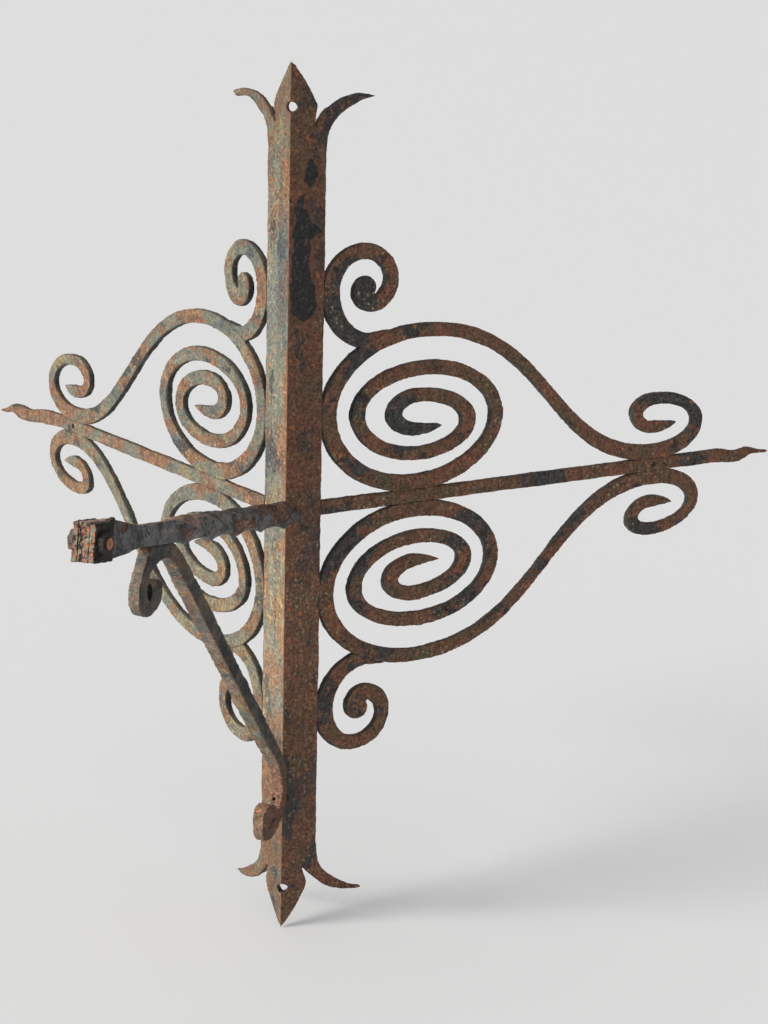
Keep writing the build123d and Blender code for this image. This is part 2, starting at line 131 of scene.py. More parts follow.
# ---------------------------------------------------------------- node helper
class Surface:
    """One material under construction. Values are floats, colours or sockets."""

    def __init__(self, name):
        self.material = bpy.data.materials.new(name)
        self.material.use_nodes = True
        self.tree = self.material.node_tree
        self.tree.nodes.clear()
        coordinates = self.add("ShaderNodeTexCoord")
        self.at = coordinates.outputs["Object"]
        self.normal = coordinates.outputs["Normal"]
        split = self.add("ShaderNodeSeparateXYZ")
        self.feed(split.inputs[0], self.at)
        self.x, self.y, self.z = split.outputs

    def add(self, kind, **settings):
        node = self.tree.nodes.new(kind)
        for key, value in settings.items():
            setattr(node, key, value)
        return node

    def feed(self, socket, value):
        if isinstance(value, bpy.types.NodeSocket):
            self.tree.links.new(value, socket)
        elif isinstance(value, tuple) and len(value) == 3 and socket.type == "RGBA":
            socket.default_value = (*value, 1.0)
        else:
            socket.default_value = value

    def calc(self, operation, a, b=0.0, clamp=False):
        node = self.add("ShaderNodeMath", operation=operation, use_clamp=clamp)
        self.feed(node.inputs[0], a)
        self.feed(node.inputs[1], b)
        return node.outputs[0]

    def mul(self, a, b):
        return self.calc("MULTIPLY", a, b)

    def plus(self, a, b):
        return self.calc("ADD", a, b)

    def most(self, a, b):
        return self.calc("MAXIMUM", a, b)

    def least(self, a, b):
        return self.calc("MINIMUM", a, b)

    def other(self, a):
        return self.calc("SUBTRACT", 1.0, a, clamp=True)

    def step(self, value, low, high):
        """0 below low, 1 above high, smooth between; low over high turns it round."""
        node = self.add("ShaderNodeMapRange", interpolation_type="SMOOTHSTEP")
        if low > high:
            low, high, ends = high, low, (1.0, 0.0)
        else:
            ends = (0.0, 1.0)
        self.feed(node.inputs[0], value)
        for socket, number in zip(node.inputs[1:5], (low, high, *ends)):
            socket.default_value = number
        return node.outputs[0]

    def mix(self, share, a, b):
        node = self.add("ShaderNodeMix", data_type="RGBA")
        self.feed(node.inputs[0], share)
        self.feed(node.inputs[6], a)
        self.feed(node.inputs[7], b)
        return node.outputs[2]

    def between(self, share, a, b):
        node = self.add("ShaderNodeMix", data_type="FLOAT")
        self.feed(node.inputs[0], share)
        self.feed(node.inputs[2], a)
        self.feed(node.inputs[3], b)
        return node.outputs[0]

    def shade(self, colour, amount):
        """colour times a number."""
        node = self.add("ShaderNodeVectorMath", operation="SCALE")
        self.feed(node.inputs[0], colour)
        self.feed(node.inputs["Scale"], amount)
        return node.outputs[0]

    def moved(self, shift=(0, 0, 0), stretch=(1, 1, 1)):
        node = self.add("ShaderNodeMapping")
        self.feed(node.inputs["Vector"], self.at)
        node.inputs["Location"].default_value = shift
        node.inputs["Scale"].default_value = stretch
        return node.outputs[0]

    def noise(self, scale, detail=4.0, rough=0.6, shift=(0, 0, 0), stretch=(1, 1, 1)):
        node = self.add("ShaderNodeTexNoise")
        self.feed(node.inputs["Vector"], self.moved(shift, stretch))
        node.inputs["Scale"].default_value = scale
        node.inputs["Detail"].default_value = detail
        node.inputs["Roughness"].default_value = rough
        return node.outputs[0]

    def grain(self, low, high, scale=330.0, shift=(0.2, 0.1, 0.3)):
        """Gritty light and dark, low to high, a few millimetres across."""
        grit = self.noise(scale, 5, 0.78, shift)
        return self.between(self.step(grit, 0.34, 0.66), low, high)

    def flecks(self, scale, size, share, shift=(0, 0, 0)):
        """Separate small ragged dots: one in each chosen cell."""
        wobble = self.add("ShaderNodeTexNoise")
        self.feed(wobble.inputs["Vector"], self.at)
        wobble.inputs["Scale"].default_value = scale * 2.2
        bend = self.add("ShaderNodeVectorMath", operation="SCALE")
        self.feed(bend.inputs[0], wobble.outputs["Color"])
        bend.inputs["Scale"].default_value = 0.9 / scale
        place = self.add("ShaderNodeVectorMath", operation="ADD")
        self.feed(place.inputs[0], self.moved(shift))
        self.feed(place.inputs[1], bend.outputs[0])
        node = self.add("ShaderNodeTexVoronoi")
        self.feed(node.inputs["Vector"], place.outputs[0])
        node.inputs["Scale"].default_value = scale
        chosen = self.add("ShaderNodeSeparateColor")
        self.feed(chosen.inputs[0], node.outputs["Color"])
        dot = self.step(node.outputs["Distance"], size, size * 0.55)
        return self.mul(dot, self.step(chosen.outputs[0], 1 - share - 0.01, 1 - share))

    def ramp(self, value, *stops):
        node = self.add("ShaderNodeValToRGB")
        self.feed(node.inputs[0], value)
        points = node.color_ramp.elements
        while len(points) < len(stops):
            points.new(0.5)
        for point, (place, colour) in zip(points, stops):
            point.position = place
            point.color = (*colour, 1.0)
        return node.outputs[0]

    def curve(self, value, low, high, *points):
        """A number read from a curve through the given points, over value from low to high."""
        node = self.add("ShaderNodeFloatCurve")
        span = self.add("ShaderNodeMapRange")
        self.feed(span.inputs[0], value)
        span.inputs[1].default_value = low
        span.inputs[2].default_value = high
        self.feed(node.inputs["Value"], span.outputs[0])
        line = node.mapping.curves[0]
        while len(line.points) < len(points):
            line.points.new(0.5, 0.5)
        for point, (place, height) in zip(line.points, points):
            point.location = ((place - low) / (high - low), height)
            point.handle_type = "AUTO_CLAMPED"
        node.mapping.update()
        return node.outputs[0]

    def facing(self, way, low=0.35, high=0.65):
        node = self.add("ShaderNodeVectorMath", operation="DOT_PRODUCT")
        self.feed(node.inputs[0], self.normal)
        node.inputs[1].default_value = way
        return self.step(node.outputs["Value"], low, high)

    def along(self, way):
        """Distance along a direction from the origin."""
        node = self.add("ShaderNodeVectorMath", operation="DOT_PRODUCT")
        self.feed(node.inputs[0], self.at)
        node.inputs[1].default_value = way
        return node.outputs["Value"]

    def done(self, colour, height, rough, depth):
        shader = self.add("ShaderNodeBsdfPrincipled")
        bump = self.add("ShaderNodeBump")
        bump.inputs["Strength"].default_value = 0.8
        bump.inputs["Distance"].default_value = depth
        self.feed(bump.inputs["Height"], height)
        self.feed(shader.inputs["Base Color"], colour)
        self.feed(shader.inputs["Roughness"], rough)
        self.feed(shader.inputs["Normal"], bump.outputs[0])
        shader.inputs["Specular IOR Level"].default_value = 0.3
        out = self.add("ShaderNodeOutputMaterial")
        self.feed(out.inputs["Surface"], shader.outputs[0])
        return self.material


# ---------------------------------------------------------------- surface families
def patina(s, stretch=(1, 1, 1), warm=0.0):
    """Old pale paint gone grey-green, breaking into salmon rust, with lichen and orange flecks."""
    broad = s.noise(16, 3, 0.55, (0.3, 0.1, 0.7), stretch)
    middle = s.noise(46, 9, 0.74, (0.9, 0.4, 0.2), stretch)
    ground = s.ramp(
        s.noise(38, 8, 0.7, (0.2, 0.8, 0.5), stretch),
        (0.34, (0.076, 0.092, 0.094)),
        (0.43, (0.150, 0.160, 0.134)),
        (0.54, (0.212, 0.198, 0.142)),
        (0.64, (0.30, 0.222, 0.112)),
    )
    salmon = s.ramp(
        s.noise(130, 7, 0.75, (0.5, 0.5, 0.1)),
        (0.34, (0.125, 0.074, 0.046)),
        (0.5, (0.255, 0.125, 0.069)),
        (0.66, (0.34, 0.205, 0.112)),
    )
    amount = s.plus(middle, s.mul(s.plus(broad, -0.5 + warm), 0.6))
    rusty = s.step(amount, 0.495, 0.54)
    colour = s.mix(s.mul(rusty, 0.92), ground, salmon)
    dark = s.step(s.noise(26, 9, 0.72, (0.15, 0.6, 0.35), stretch), 0.555, 0.59)
    colour = s.mix(s.mul(dark, 0.8), colour, (0.05, 0.058, 0.06))
    grown = s.least(s.plus(s.step(broad, 0.42, 0.56), s.mul(s.step(s.z, 0.0, -0.05), 0.5)), 1.0)
    ochre = s.mul(s.step(s.noise(95, 7, 0.74, (0.7, 0.7, 0.1)), 0.5, 0.6), s.step(s.z, 0.01, -0.05))
    colour = s.mix(s.mul(ochre, 0.5), colour, (0.34, 0.26, 0.115))
    lichen = s.mul(s.flecks(250, 0.4, 0.28, (0.3, 0, 0)), grown)
    colour = s.mix(s.mul(lichen, 0.7), colour, (0.44, 0.37, 0.18))
    colour = s.mix(s.mul(s.flecks(150, 0.32, 0.13, (0, 0.3, 0)), 0.8), colour, (0.52, 0.17, 0.07))
    colour = s.mix(s.mul(s.flecks(280, 0.36, 0.16, (0, 0, 0.3)), 0.8), colour, (0.035, 0.031, 0.027))
    colour = s.shade(colour, s.mul(s.grain(0.6, 1.42), s.grain(0.86, 1.16, 110.0, (0.6, 0, 0))))
    height = s.plus(s.mul(rusty, -0.4), s.plus(s.mul(dark, -0.3), s.grain(0.0, 1.0)))
    return colour, height


def rust(s, stretch=(1, 1, 1), slate_more=0.0, lichen=0.12):
    """Chocolate rust with what is left of dark paint, orange flecks and pale lichen specks."""
    ground = s.ramp(
        s.noise(36, 8, 0.7, (0.7, 0.2, 0.4), stretch),
        (0.34, (0.140, 0.113, 0.066)),
        (0.45, (0.174, 0.108, 0.065)),
        (0.54, (0.228, 0.108, 0.067)),
        (0.66, (0.31, 0.132, 0.078)),
    )
    field = s.plus(s.noise(19, 10, 0.66, (0.1, 0.9, 0.6), stretch), slate_more)
    slate_here = s.step(field, 0.535, 0.56)
    rim = s.mul(s.step(field, 0.505, 0.54), s.other(slate_here))
    colour = s.mix(s.mul(rim, 0.4), ground, (0.27, 0.118, 0.066))
    cold = s.mix(s.grain(0.0, 1.0, 90.0), (0.032, 0.039, 0.042), (0.084, 0.094, 0.093))
    colour = s.mix(s.mul(slate_here, 0.88), colour, cold)
    where = s.step(s.noise(14, 2, 0.5, (0.6, 0.3, 0.9)), 0.5, 0.6)
    specks = s.mul(s.flecks(240, 0.42, 0.3, (0.7, 0, 0)), s.between(where, lichen, 0.85))
    colour = s.mix(specks, colour, (0.36, 0.33, 0.18))
    bright = s.mul(s.flecks(120, 0.32, 0.14, (0, 0.7, 0)), s.grain(0.2, 1.0, 160.0))
    colour = s.mix(bright, colour, FRESH_RUST)
    colour = s.mix(s.mul(s.flecks(330, 0.4, 0.35), 0.55), colour, (0.30, 0.125, 0.065))
    colour = s.mix(s.mul(s.flecks(300, 0.38, 0.3, (0, 0, 0.7)), 0.8), colour, (0.022, 0.019, 0.017))
    colour = s.shade(colour, s.mul(s.grain(0.52, 1.62), s.grain(0.78, 1.26, 120.0, (0.6, 0, 0))))
    height = s.plus(s.mul(slate_here, 0.3), s.grain(0.0, 1.1))
    return colour, height


def slate(s, chips=0.0):
    """Thick dark slate paint, chipped to brown."""
    body = s.ramp(
        s.noise(55, 8, 0.68, (0.4, 0.4, 0.8)),
        (0.37, (0.024, 0.025, 0.026)),
        (0.46, (0.066, 0.068, 0.070)),
        (0.54, (0.135, 0.137, 0.137)),
        (0.64, (0.20, 0.185, 0.165)),
    )
    field = s.plus(s.noise(38, 7, 0.6, (0.75, 0.35, 0.15), (0.6, 0.6, 0.8)), chips)
    chipped = s.step(field, 0.56, 0.572)
    brown = s.ramp(
        s.noise(170, 6, 0.75, (0.8, 0.1, 0.1)),
        (0.36, (0.06, 0.038, 0.029)),
        (0.5, (0.15, 0.078, 0.053)),
        (0.64, (0.29, 0.155, 0.10)),
    )
    colour = s.mix(chipped, body, brown)
    lip = s.mul(s.step(field, 0.542, 0.556), s.other(chipped))
    colour = s.mix(s.mul(lip, 0.8), colour, (0.014, 0.013, 0.013))
    pocks = s.step(s.noise(95, 3, 0.6, (0.5, 0.1, 0.9)), 0.64, 0.67)
    colour = s.mix(s.mul(pocks, 0.85), colour, (0.014, 0.013, 0.013))
    colour = s.mix(s.mul(s.flecks(170, 0.34, 0.2, (0, 0.2, 0.2)), 0.8), colour, (0.018, 0.017, 0.016))
    colour = s.mix(s.mul(s.flecks(210, 0.3, 0.12, (0.2, 0.2, 0)), 0.7), colour, (0.28, 0.13, 0.07))
    colour = s.shade(colour, s.mul(s.grain(0.7, 1.5), s.grain(0.82, 1.22, 70.0, (0, 0.6, 0))))
    height = s.plus(s.plus(s.mul(chipped, -0.9), s.mul(pocks, -1.5)), s.grain(0.0, 0.6))
    return colour, height, chipped


def oval(s, aside, above, half_width, half_height):
    """Below 1 inside an oval of these half sizes, above 1 outside it."""
    aside = s.calc("DIVIDE", aside, half_width)
    above = s.calc("DIVIDE", above, half_height)
    return s.plus(s.mul(aside, aside), s.mul(above, above))


def edge_of(s, mask):
    """1 on the rounded edge between two facings, 0 on either face."""
    return s.mul(s.mul(mask, s.other(mask)), 4.0)


def wing_iron(name, face, inward, front_family, **front_options):
    """A wing bar or scroll: its own look in front; on the sides and behind dark paint with painted shade,
    and on upward faces the front's colour dimmed as painted shade.
    """
    s = Surface(name)
    front, front_height = front_family(s, **front_options)
    # The sides and back: partly dark paint, partly painted shade on faces turned away from the lamp.
    sides = s.ramp(
        s.noise(38, 7, 0.68, (0.33, 0.2, 0.6)),
        (0.38, (0.034, 0.038, 0.038)),
        (0.5, (0.068, 0.073, 0.065)),
        (0.6, (0.115, 0.10, 0.075)),
        (0.68, (0.16, 0.112, 0.078)),
    )
    grain = s.grain(0.0, 1.0, 300.0, (0.4, 0.1, 0))
    sides = s.shade(sides, s.between(grain, 0.6, 1.4))
    # Upward faces get the front colour at 0.62 brightness: painted shade.
    upward = s.facing((0, 0, 1), 0.2, 0.8)
    sides = s.mix(s.mul(upward, 0.6), sides, s.shade(front, 0.62))
    ahead = s.mul(s.facing(face, 0.2, 0.6), s.other(s.facing(inward, 0.22, 0.5)))
    colour = s.mix(ahead, sides, front)
    worn = s.mul(edge_of(s, ahead), s.step(s.noise(70, 5, 0.7, (0.1, 0.1, 0.9)), 0.44, 0.58))
    colour = s.mix(s.mul(worn, 0.55), colour, WORN_EDGE)
    height = s.between(ahead, grain, front_height)
    rough = s.between(s.noise(120, 3, 0.6), 0.55, 0.9)
    return s.done(colour, height, rough, 0.0011)


def upright_iron():
    """The angle-iron upright: pale on its left flange, brown with a long dark scar on its right one."""
    s = Surface("upright_iron")
    long_way = (1.0, 1.0, 0.45)
    pale, pale_height = patina(s, stretch=long_way, warm=-0.10)
    brown, brown_height = rust(s, stretch=(1, 1, 0.7), slate_more=-0.03, lichen=0.12)
    across = s.mul(s.x, math.sqrt(2))  # from the ridge: over 0 on the right flange
    patchy = s.noise(60, 7, 0.66, (0.35, 0.8, 0.2), (1, 1, 0.6))
    horn = s.mul(s.step(s.z, 0.335, 0.36), s.step(s.z, 0.43, 0.40))
    horn = s.mul(horn, s.step(across, 0.018, 0.03))
    foot = s.mul(s.step(s.z, -0.345, -0.325), s.step(s.z, -0.235, -0.25))
    foot = s.mul(foot, s.step(across, 0.017, 0.010))
    stained = s.step(s.plus(patchy, s.mul(s.most(horn, foot), 0.14)), 0.575, 0.61)
    blue = s.shade((0.058, 0.066, 0.068), s.grain(0.5, 1.5))
    redder = s.shade((0.19, 0.088, 0.058), s.grain(0.5, 1.6))
    brown = s.mix(s.between(s.step(patchy, 0.4, 0.6), 0.15, 0.55), brown, redder)
    brown = s.mix(s.mul(stained, 0.85), brown, blue)
    sparks = s.mul(s.flecks(110, 0.34, 0.14, (0.5, 0.5, 0)), s.grain(0.2, 1.0, 160.0))
    brown = s.mix(sparks, brown, FRESH_RUST)
    growth = s.mul(s.flecks(240, 0.42, 0.2, (0.5, 0, 0.5)), s.step(s.z, 0.16, -0.02))
    brown = s.mix(s.mul(growth, 0.8), brown, (0.33, 0.29, 0.16))
    # The brown is made brighter or darker along the height, by a curve over z.
    brown_by_height = s.curve(
        s.z, -0.44, 0.44,
        (-0.44, 0.53), (-0.2, 0.52), (-0.14, 0.59), (-0.06, 0.59), (0.0, 0.51), (0.3, 0.48), (0.44, 0.52),
    )
    brown = s.shade(brown, s.mul(brown_by_height, 2.0))

    # Painted shade of a nail hole through the right flange, beside the brace's foot: a black spot.
    nail_hole_shade = oval(s, s.plus(across, -0.0064), s.plus(s.z, 0.2945), 0.00127, 0.00354)
    brown = s.mix(s.step(nail_hole_shade, 1.15, 0.75), brown, HOLE_SHADE)

    # Rust creeps in from the ridge and from the outer edge of the left flange.
    out_left = s.mul(across, -1.0)
    ragged = s.noise(70, 7, 0.7, (0.4, 0.2, 0.1), (1, 1, 0.6))
    creep = s.most(s.step(out_left, 0.010, 0.0), s.step(out_left, 0.031, 0.043))
    creep = s.step(s.plus(s.mul(creep, 0.2), ragged), 0.62, 0.7)
    low_rust = s.step(s.z, 0.0, -0.26)
    top_rust = s.step(s.z, 0.35, 0.385)
    whole = s.step(s.plus(s.mul(s.most(low_rust, top_rust), 0.16), ragged), 0.56, 0.68)
    salmon = s.shade((0.245, 0.13, 0.068), s.mul(s.grain(0.6, 1.42), s.grain(0.8, 1.2, 110.0)))
    pale = s.mix(s.mul(s.most(creep, whole), 0.75), pale, salmon)
    # The pale side is made brighter or darker along the height, by a curve over z.
    pale_by_height = s.curve(
        s.z, -0.44, 0.44,
        (-0.44, 0.40), (-0.33, 0.41), (-0.24, 0.58), (-0.15, 0.70), (0.0, 0.60),
        (0.25, 0.61), (0.33, 0.52), (0.38, 0.43), (0.44, 0.42),
    )
    pale = s.shade(pale, s.mul(pale_by_height, 2.0))

    # Blue-grey streak along the inner half of the left flange.
    streak = s.noise(28, 6, 0.68, (0.55, 0.2, 0.3), (1, 1, 0.22))
    streak = s.mul(s.step(streak, 0.47, 0.58), s.step(s.z, 0.12, 0.22))
    inner = s.step(out_left, 0.026, 0.018)
    streak = s.mul(s.mul(streak, inner), s.step(s.z, 0.345, 0.32))
    cold = s.shade((0.08, 0.094, 0.098), s.grain(0.45, 1.8))
    pale = s.mix(s.mul(streak, 0.62), pale, cold)

    # The long scar of dark paint, high on the right flange.
    middle = s.curve(
        s.z, 0.17, 0.36,
        (0.17, 0.42), (0.20, 0.44), (0.235, 0.36), (0.262, 0.36), (0.274, 0.48), (0.285, 0.38),
        (0.30, 0.30), (0.309, 0.44), (0.317, 0.58), (0.33, 0.6), (0.36, 0.56),
    )
    width = s.curve(
        s.z, 0.17, 0.36,
        (0.17, 0.0), (0.184, 0.0), (0.19, 0.16), (0.20, 0.36), (0.215, 0.38), (0.235, 0.27),
        (0.264, 0.26), (0.273, 0.40), (0.283, 0.22), (0.293, 0.15), (0.303, 0.09), (0.311, 0.05),
        (0.317, 0.1), (0.325, 0.2), (0.332, 0.17), (0.341, 0.05), (0.348, 0.0), (0.36, 0.0),
    )
    off = s.calc("ABSOLUTE", s.plus(across, s.mul(middle, -0.04)))
    reach = s.plus(s.mul(width, 0.04), s.mul(s.plus(s.noise(85, 6, 0.65), -0.5), 0.016))
    inside = s.calc("SUBTRACT", reach, off)
    present = s.step(width, 0.02, 0.05)
    scar = s.mul(s.step(inside, 0.0, 0.0008), present)
    rim = s.mul(s.mul(s.step(inside, -0.0035, -0.0005), s.other(scar)), present)
    brown = s.mix(s.mul(rim, 0.7), brown, (0.23, 0.105, 0.066))
    dull = s.ramp(
        s.noise(260, 4, 0.75, (0.1, 0.5, 0.1)),
        (0.4, (0.015, 0.019, 0.021)),
        (0.56, (0.034, 0.040, 0.043)),
        (0.66, (0.14, 0.09, 0.06)),
    )
    brown = s.mix(s.mul(scar, 0.95), brown, s.shade(dull, s.grain(0.6, 1.5, 200.0)))

    # A hairline crack down the left flange below the arm.
    wander = s.mul(s.plus(s.noise(90, 4, 0.7, (0, 0, 0.2)), -0.5), 0.012)
    crack = s.calc("ABSOLUTE", s.plus(s.plus(out_left, -0.0175), wander))
    crack = s.mul(s.step(crack, 0.0007, 0.0002), s.step(s.z, -0.084, -0.09))
    crack = s.mul(crack, s.step(s.z, -0.14, -0.128))
    pale = s.mix(crack, pale, CRACK_AND_SHADE_DARK)

    ahead_left = s.facing(LEFT_FACE, 0.5, 0.75)
    ahead_right = s.facing(RIGHT_FACE, 0.5, 0.75)
    ahead = s.most(ahead_left, ahead_right)
    behind = s.ramp(
        s.noise(34, 6, 0.65, (0.9, 0.9, 0.2)),
        (0.42, (0.05, 0.047, 0.042)),
        (0.58, (0.12, 0.075, 0.05)),
    )
    colour = s.mix(ahead_left, s.mix(ahead_right, behind, brown), pale)
    ridge = s.mul(s.step(s.calc("ABSOLUTE", s.x), 0.0016, 0.0005), s.step(s.y, 0.004, 0.002))
    ridge = s.mul(ridge, s.step(s.noise(150, 6, 0.75, (0, 0.2, 0)), 0.46, 0.56))
    colour = s.mix(s.mul(ridge, 0.7), colour, (0.30, 0.145, 0.085))
    worn = s.mul(edge_of(s, ahead), s.step(s.noise(70, 5, 0.7, (0.1, 0.1, 0.9)), 0.44, 0.58))
    colour = s.mix(s.mul(worn, 0.5), colour, WORN_EDGE)
    height = s.between(ahead_left, brown_height, pale_height)
    height = s.plus(height, s.plus(s.mul(scar, -0.6), s.mul(crack, -2.0)))
    rough = s.between(scar, s.between(s.noise(120, 3, 0.6), 0.6, 0.92), 0.5)
    return s.done(colour, height, rough, 0.0011)


def arm_iron():
    """Slate paint with brown chips; the upper faces have rusted through."""
    s = Surface("arm_iron")
    dark, dark_height, chipped = slate(s)
    top = s.ramp(
        s.noise(60, 7, 0.7, (0.2, 0.7, 0.1)),
        (0.38, (0.17, 0.115, 0.09)),
        (0.5, (0.38, 0.22, 0.155)),
        (0.62, (0.52, 0.35, 0.26)),
    )
    top = s.shade(top, s.grain(0.6, 1.4))
    upper = s.facing((0, 0, 1), 0.42, 0.7)
    upper = s.mul(upper, s.step(s.noise(40, 5, 0.6, (0.3, 0.3, 0.3)), 0.32, 0.42))
    straight = s.between(s.step(s.along(ARM_OUT), 0.175, 0.20), 0.2, 0.95)
    colour = s.mix(s.mul(upper, straight), dark, top)

    # The flaking front of the tongue, with its deep wandering split.
    ahead = s.facing(ARM_OUT, 0.5, 0.8)
    scale, scale_height = flaked(s)
    colour = s.mix(ahead, colour, scale)
    wander = s.mul(s.plus(s.noise(75, 5, 0.75, (0.3, 0.1, 0.6)), -0.5), 0.016)
    side = s.plus(s.plus(s.along(ARM_RIGHT), 0.002), wander)
    split = s.mul(s.step(s.calc("ABSOLUTE", side), 0.0011, 0.0004), ahead)
    colour = s.mix(split, colour, CRACK_AND_SHADE_DARK)
    height = s.plus(s.between(ahead, dark_height, scale_height), s.mul(split, -3.0))
    rough = s.between(chipped, 0.5, 0.85)
    return s.done(colour, height, rough, 0.0011)


def flaked(s):
    """Layered scale: orange, cream and grey-green flakes with dark gaps."""
    layer = s.noise(150, 7, 0.72, (0.6, 0.6, 0.6))
    colour = s.ramp(
        layer,
        (0.34, (0.035, 0.03, 0.027)),
        (0.42, (0.16, 0.08, 0.05)),
        (0.49, (0.32, 0.15, 0.09)),
        (0.54, (0.17, 0.175, 0.14)),
        (0.60, (0.30, 0.27, 0.17)),
        (0.68, (0.50, 0.43, 0.28)),
    )
    colour = s.mix(s.flecks(190, 0.36, 0.28, (0.2, 0.2, 0)), colour, (0.62, 0.17, 0.065))
    gaps = s.step(s.noise(110, 5, 0.7, (0.1, 0.3, 0.9)), 0.45, 0.41)
    colour = s.mix(s.mul(gaps, 0.9), colour, (0.02, 0.016, 0.014))
    upward = s.facing((0, 0, 1), 0.3, 0.8)
    colour = s.mix(s.mul(upward, 0.75), colour, (0.045, 0.034, 0.027))
    return colour, s.plus(s.mul(layer, 2.0), s.mul(gaps, -1.5))


def cheek_iron():
    """Flaking scale; the right-facing sides, the outer side of the right plate among them, are dark slate
    darkened to nearly black: painted shade.
    """
    s = Surface("cheek_iron")
    scale, scale_height = flaked(s)
    dark, dark_height, _ = slate(s, 0.02)
    # Painted shade: right-facing sides get the slate colour at 0.18 brightness, nearly black.
    shaded_side = s.facing(ARM_RIGHT, 0.4, 0.8)
    colour = s.mix(s.mul(shaded_side, 0.95), scale, s.shade(dark, 0.18))
    height = s.between(shaded_side, scale_height, dark_height)
    return s.done(colour, height, s.between(s.noise(140, 3, 0.6), 0.6, 0.92), 0.0013)


def bolt_iron():
    """Dull iron with orange flecks; painted shade makes it black at the nut; a rusty end."""
    s = Surface("bolt_iron")
    body = s.ramp(
        s.noise(120, 6, 0.7, (0.1, 0.8, 0.3)),
        (0.38, (0.05, 0.045, 0.04)),
        (0.5, (0.13, 0.12, 0.10)),
        (0.6, (0.24, 0.12, 0.07)),
    )
    colour = s.mix(s.flecks(200, 0.4, 0.3, (0.4, 0.4, 0)), body, (0.52, 0.16, 0.06))
    grain = s.noise(420, 3, 0.7)
    colour = s.shade(colour, s.between(grain, 0.5, 1.5))
    reach = s.along(ARM_RIGHT)
    # Painted shade: nearly black over the nut.
    nut_shade = s.mul(s.step(reach, 0.004, 0.006), s.step(reach, 0.0178, 0.0172))
    colour = s.mix(s.mul(nut_shade, 0.9), colour, CRACK_AND_SHADE_DARK)
    tip = s.mul(s.step(reach, 0.0172, 0.0178), s.step(s.noise(330, 5, 0.75), 0.43, 0.53))
    colour = s.mix(s.mul(tip, 0.85), colour, (0.58, 0.20, 0.085))
    return s.done(colour, grain, s.between(s.noise(140, 3, 0.6), 0.55, 0.9), 0.001)


def brace_iron():
    """Brown-grey brace: pale weathering in patches; its right side dark, partly dark paint and partly
    painted shade; rusted at the foot, with painted light and shade on the rust.
    """
    s = Surface("brace_iron")
    pale, pale_height = patina(s, warm=0.04)
    brown = s.ramp(
        s.noise(60, 7, 0.7, (0.2, 0.4, 0.8)),
        (0.36, (0.13, 0.115, 0.095)),
        (0.5, (0.25, 0.18, 0.13)),
        (0.64, (0.36, 0.26, 0.19)),
    )
    brown = s.shade(brown, s.grain(0.6, 1.4))
    out = s.facing(ARM_OUT, 0.5, 0.85)
    colour = s.mix(s.step(s.noise(28, 4, 0.6, (0.1, 0.2, 0.5)), 0.44, 0.54), brown, pale)
    side = s.ramp(
        s.noise(44, 7, 0.68, (0.5, 0.3, 0.1)),
        (0.4, (0.045, 0.047, 0.048)),
        (0.5, (0.105, 0.098, 0.088)),
        (0.6, (0.19, 0.125, 0.085)),
    )
    side = s.shade(side, s.grain(0.6, 1.4))
    cold = s.shade((0.13, 0.142, 0.145), s.grain(0.6, 1.4))
    cold_here = s.step(s.noise(24, 6, 0.62, (0.8, 0.2, 0.1)), 0.55, 0.6)
    colour = s.mix(s.mul(cold_here, 0.65), colour, cold)
    # The right-facing side: dark paint, and painted shade.
    right_side = s.facing(ARM_RIGHT, 0.45, 0.8)
    colour = s.mix(right_side, colour, side)
    worn = s.mul(edge_of(s, right_side), s.step(s.noise(90, 5, 0.7, (0, 0.1, 0.9)), 0.45, 0.58))
    colour = s.mix(s.mul(worn, 0.7), colour, (0.42, 0.16, 0.08))
    foot = s.step(s.plus(s.z, s.mul(s.noise(50, 5, 0.65, (0.2, 0, 0)), 0.06)), -0.20, -0.235)
    rusted, _ = rust(s, slate_more=-0.06)
    # Painted light and shade: the foot's rust is 1.35 times as bright off the right side and 0.9 times on
    # it.
    rust_light_and_shade = s.between(right_side, 1.35, 0.9)
    colour = s.mix(s.mul(foot, 0.85), colour, s.shade(rusted, rust_light_and_shade))

    # Painted shade: the open eye of the upper volute is painted black inside.
    eye_shade = oval(s, s.plus(s.along(ARM_OUT), -0.302), s.plus(s.z, 0.002), 0.0052, 0.0078)
    colour = s.mix(s.step(eye_shade, 1.05, 0.9), colour, HOLE_SHADE)
    height = s.plus(pale_height, s.mul(out, 0.1))
    return s.done(colour, height, s.between(s.noise(120, 3, 0.6), 0.5, 0.9), 0.0011)


# ---------------------------------------------------------------- forging
def clouds(name, size, depth):
    texture = bpy.data.textures.new(name, "CLOUDS")
    texture.noise_scale = size
    texture.noise_depth = depth
    return texture


SAME_POINT = 2e-6  # vertices closer than this are one
DENTS = clouds("hammer_dents", 0.022, 1)
SCALE = clouds("mill_scale", 0.0065, 2)
PITS = clouds("rust_pits", 0.0028, 1)


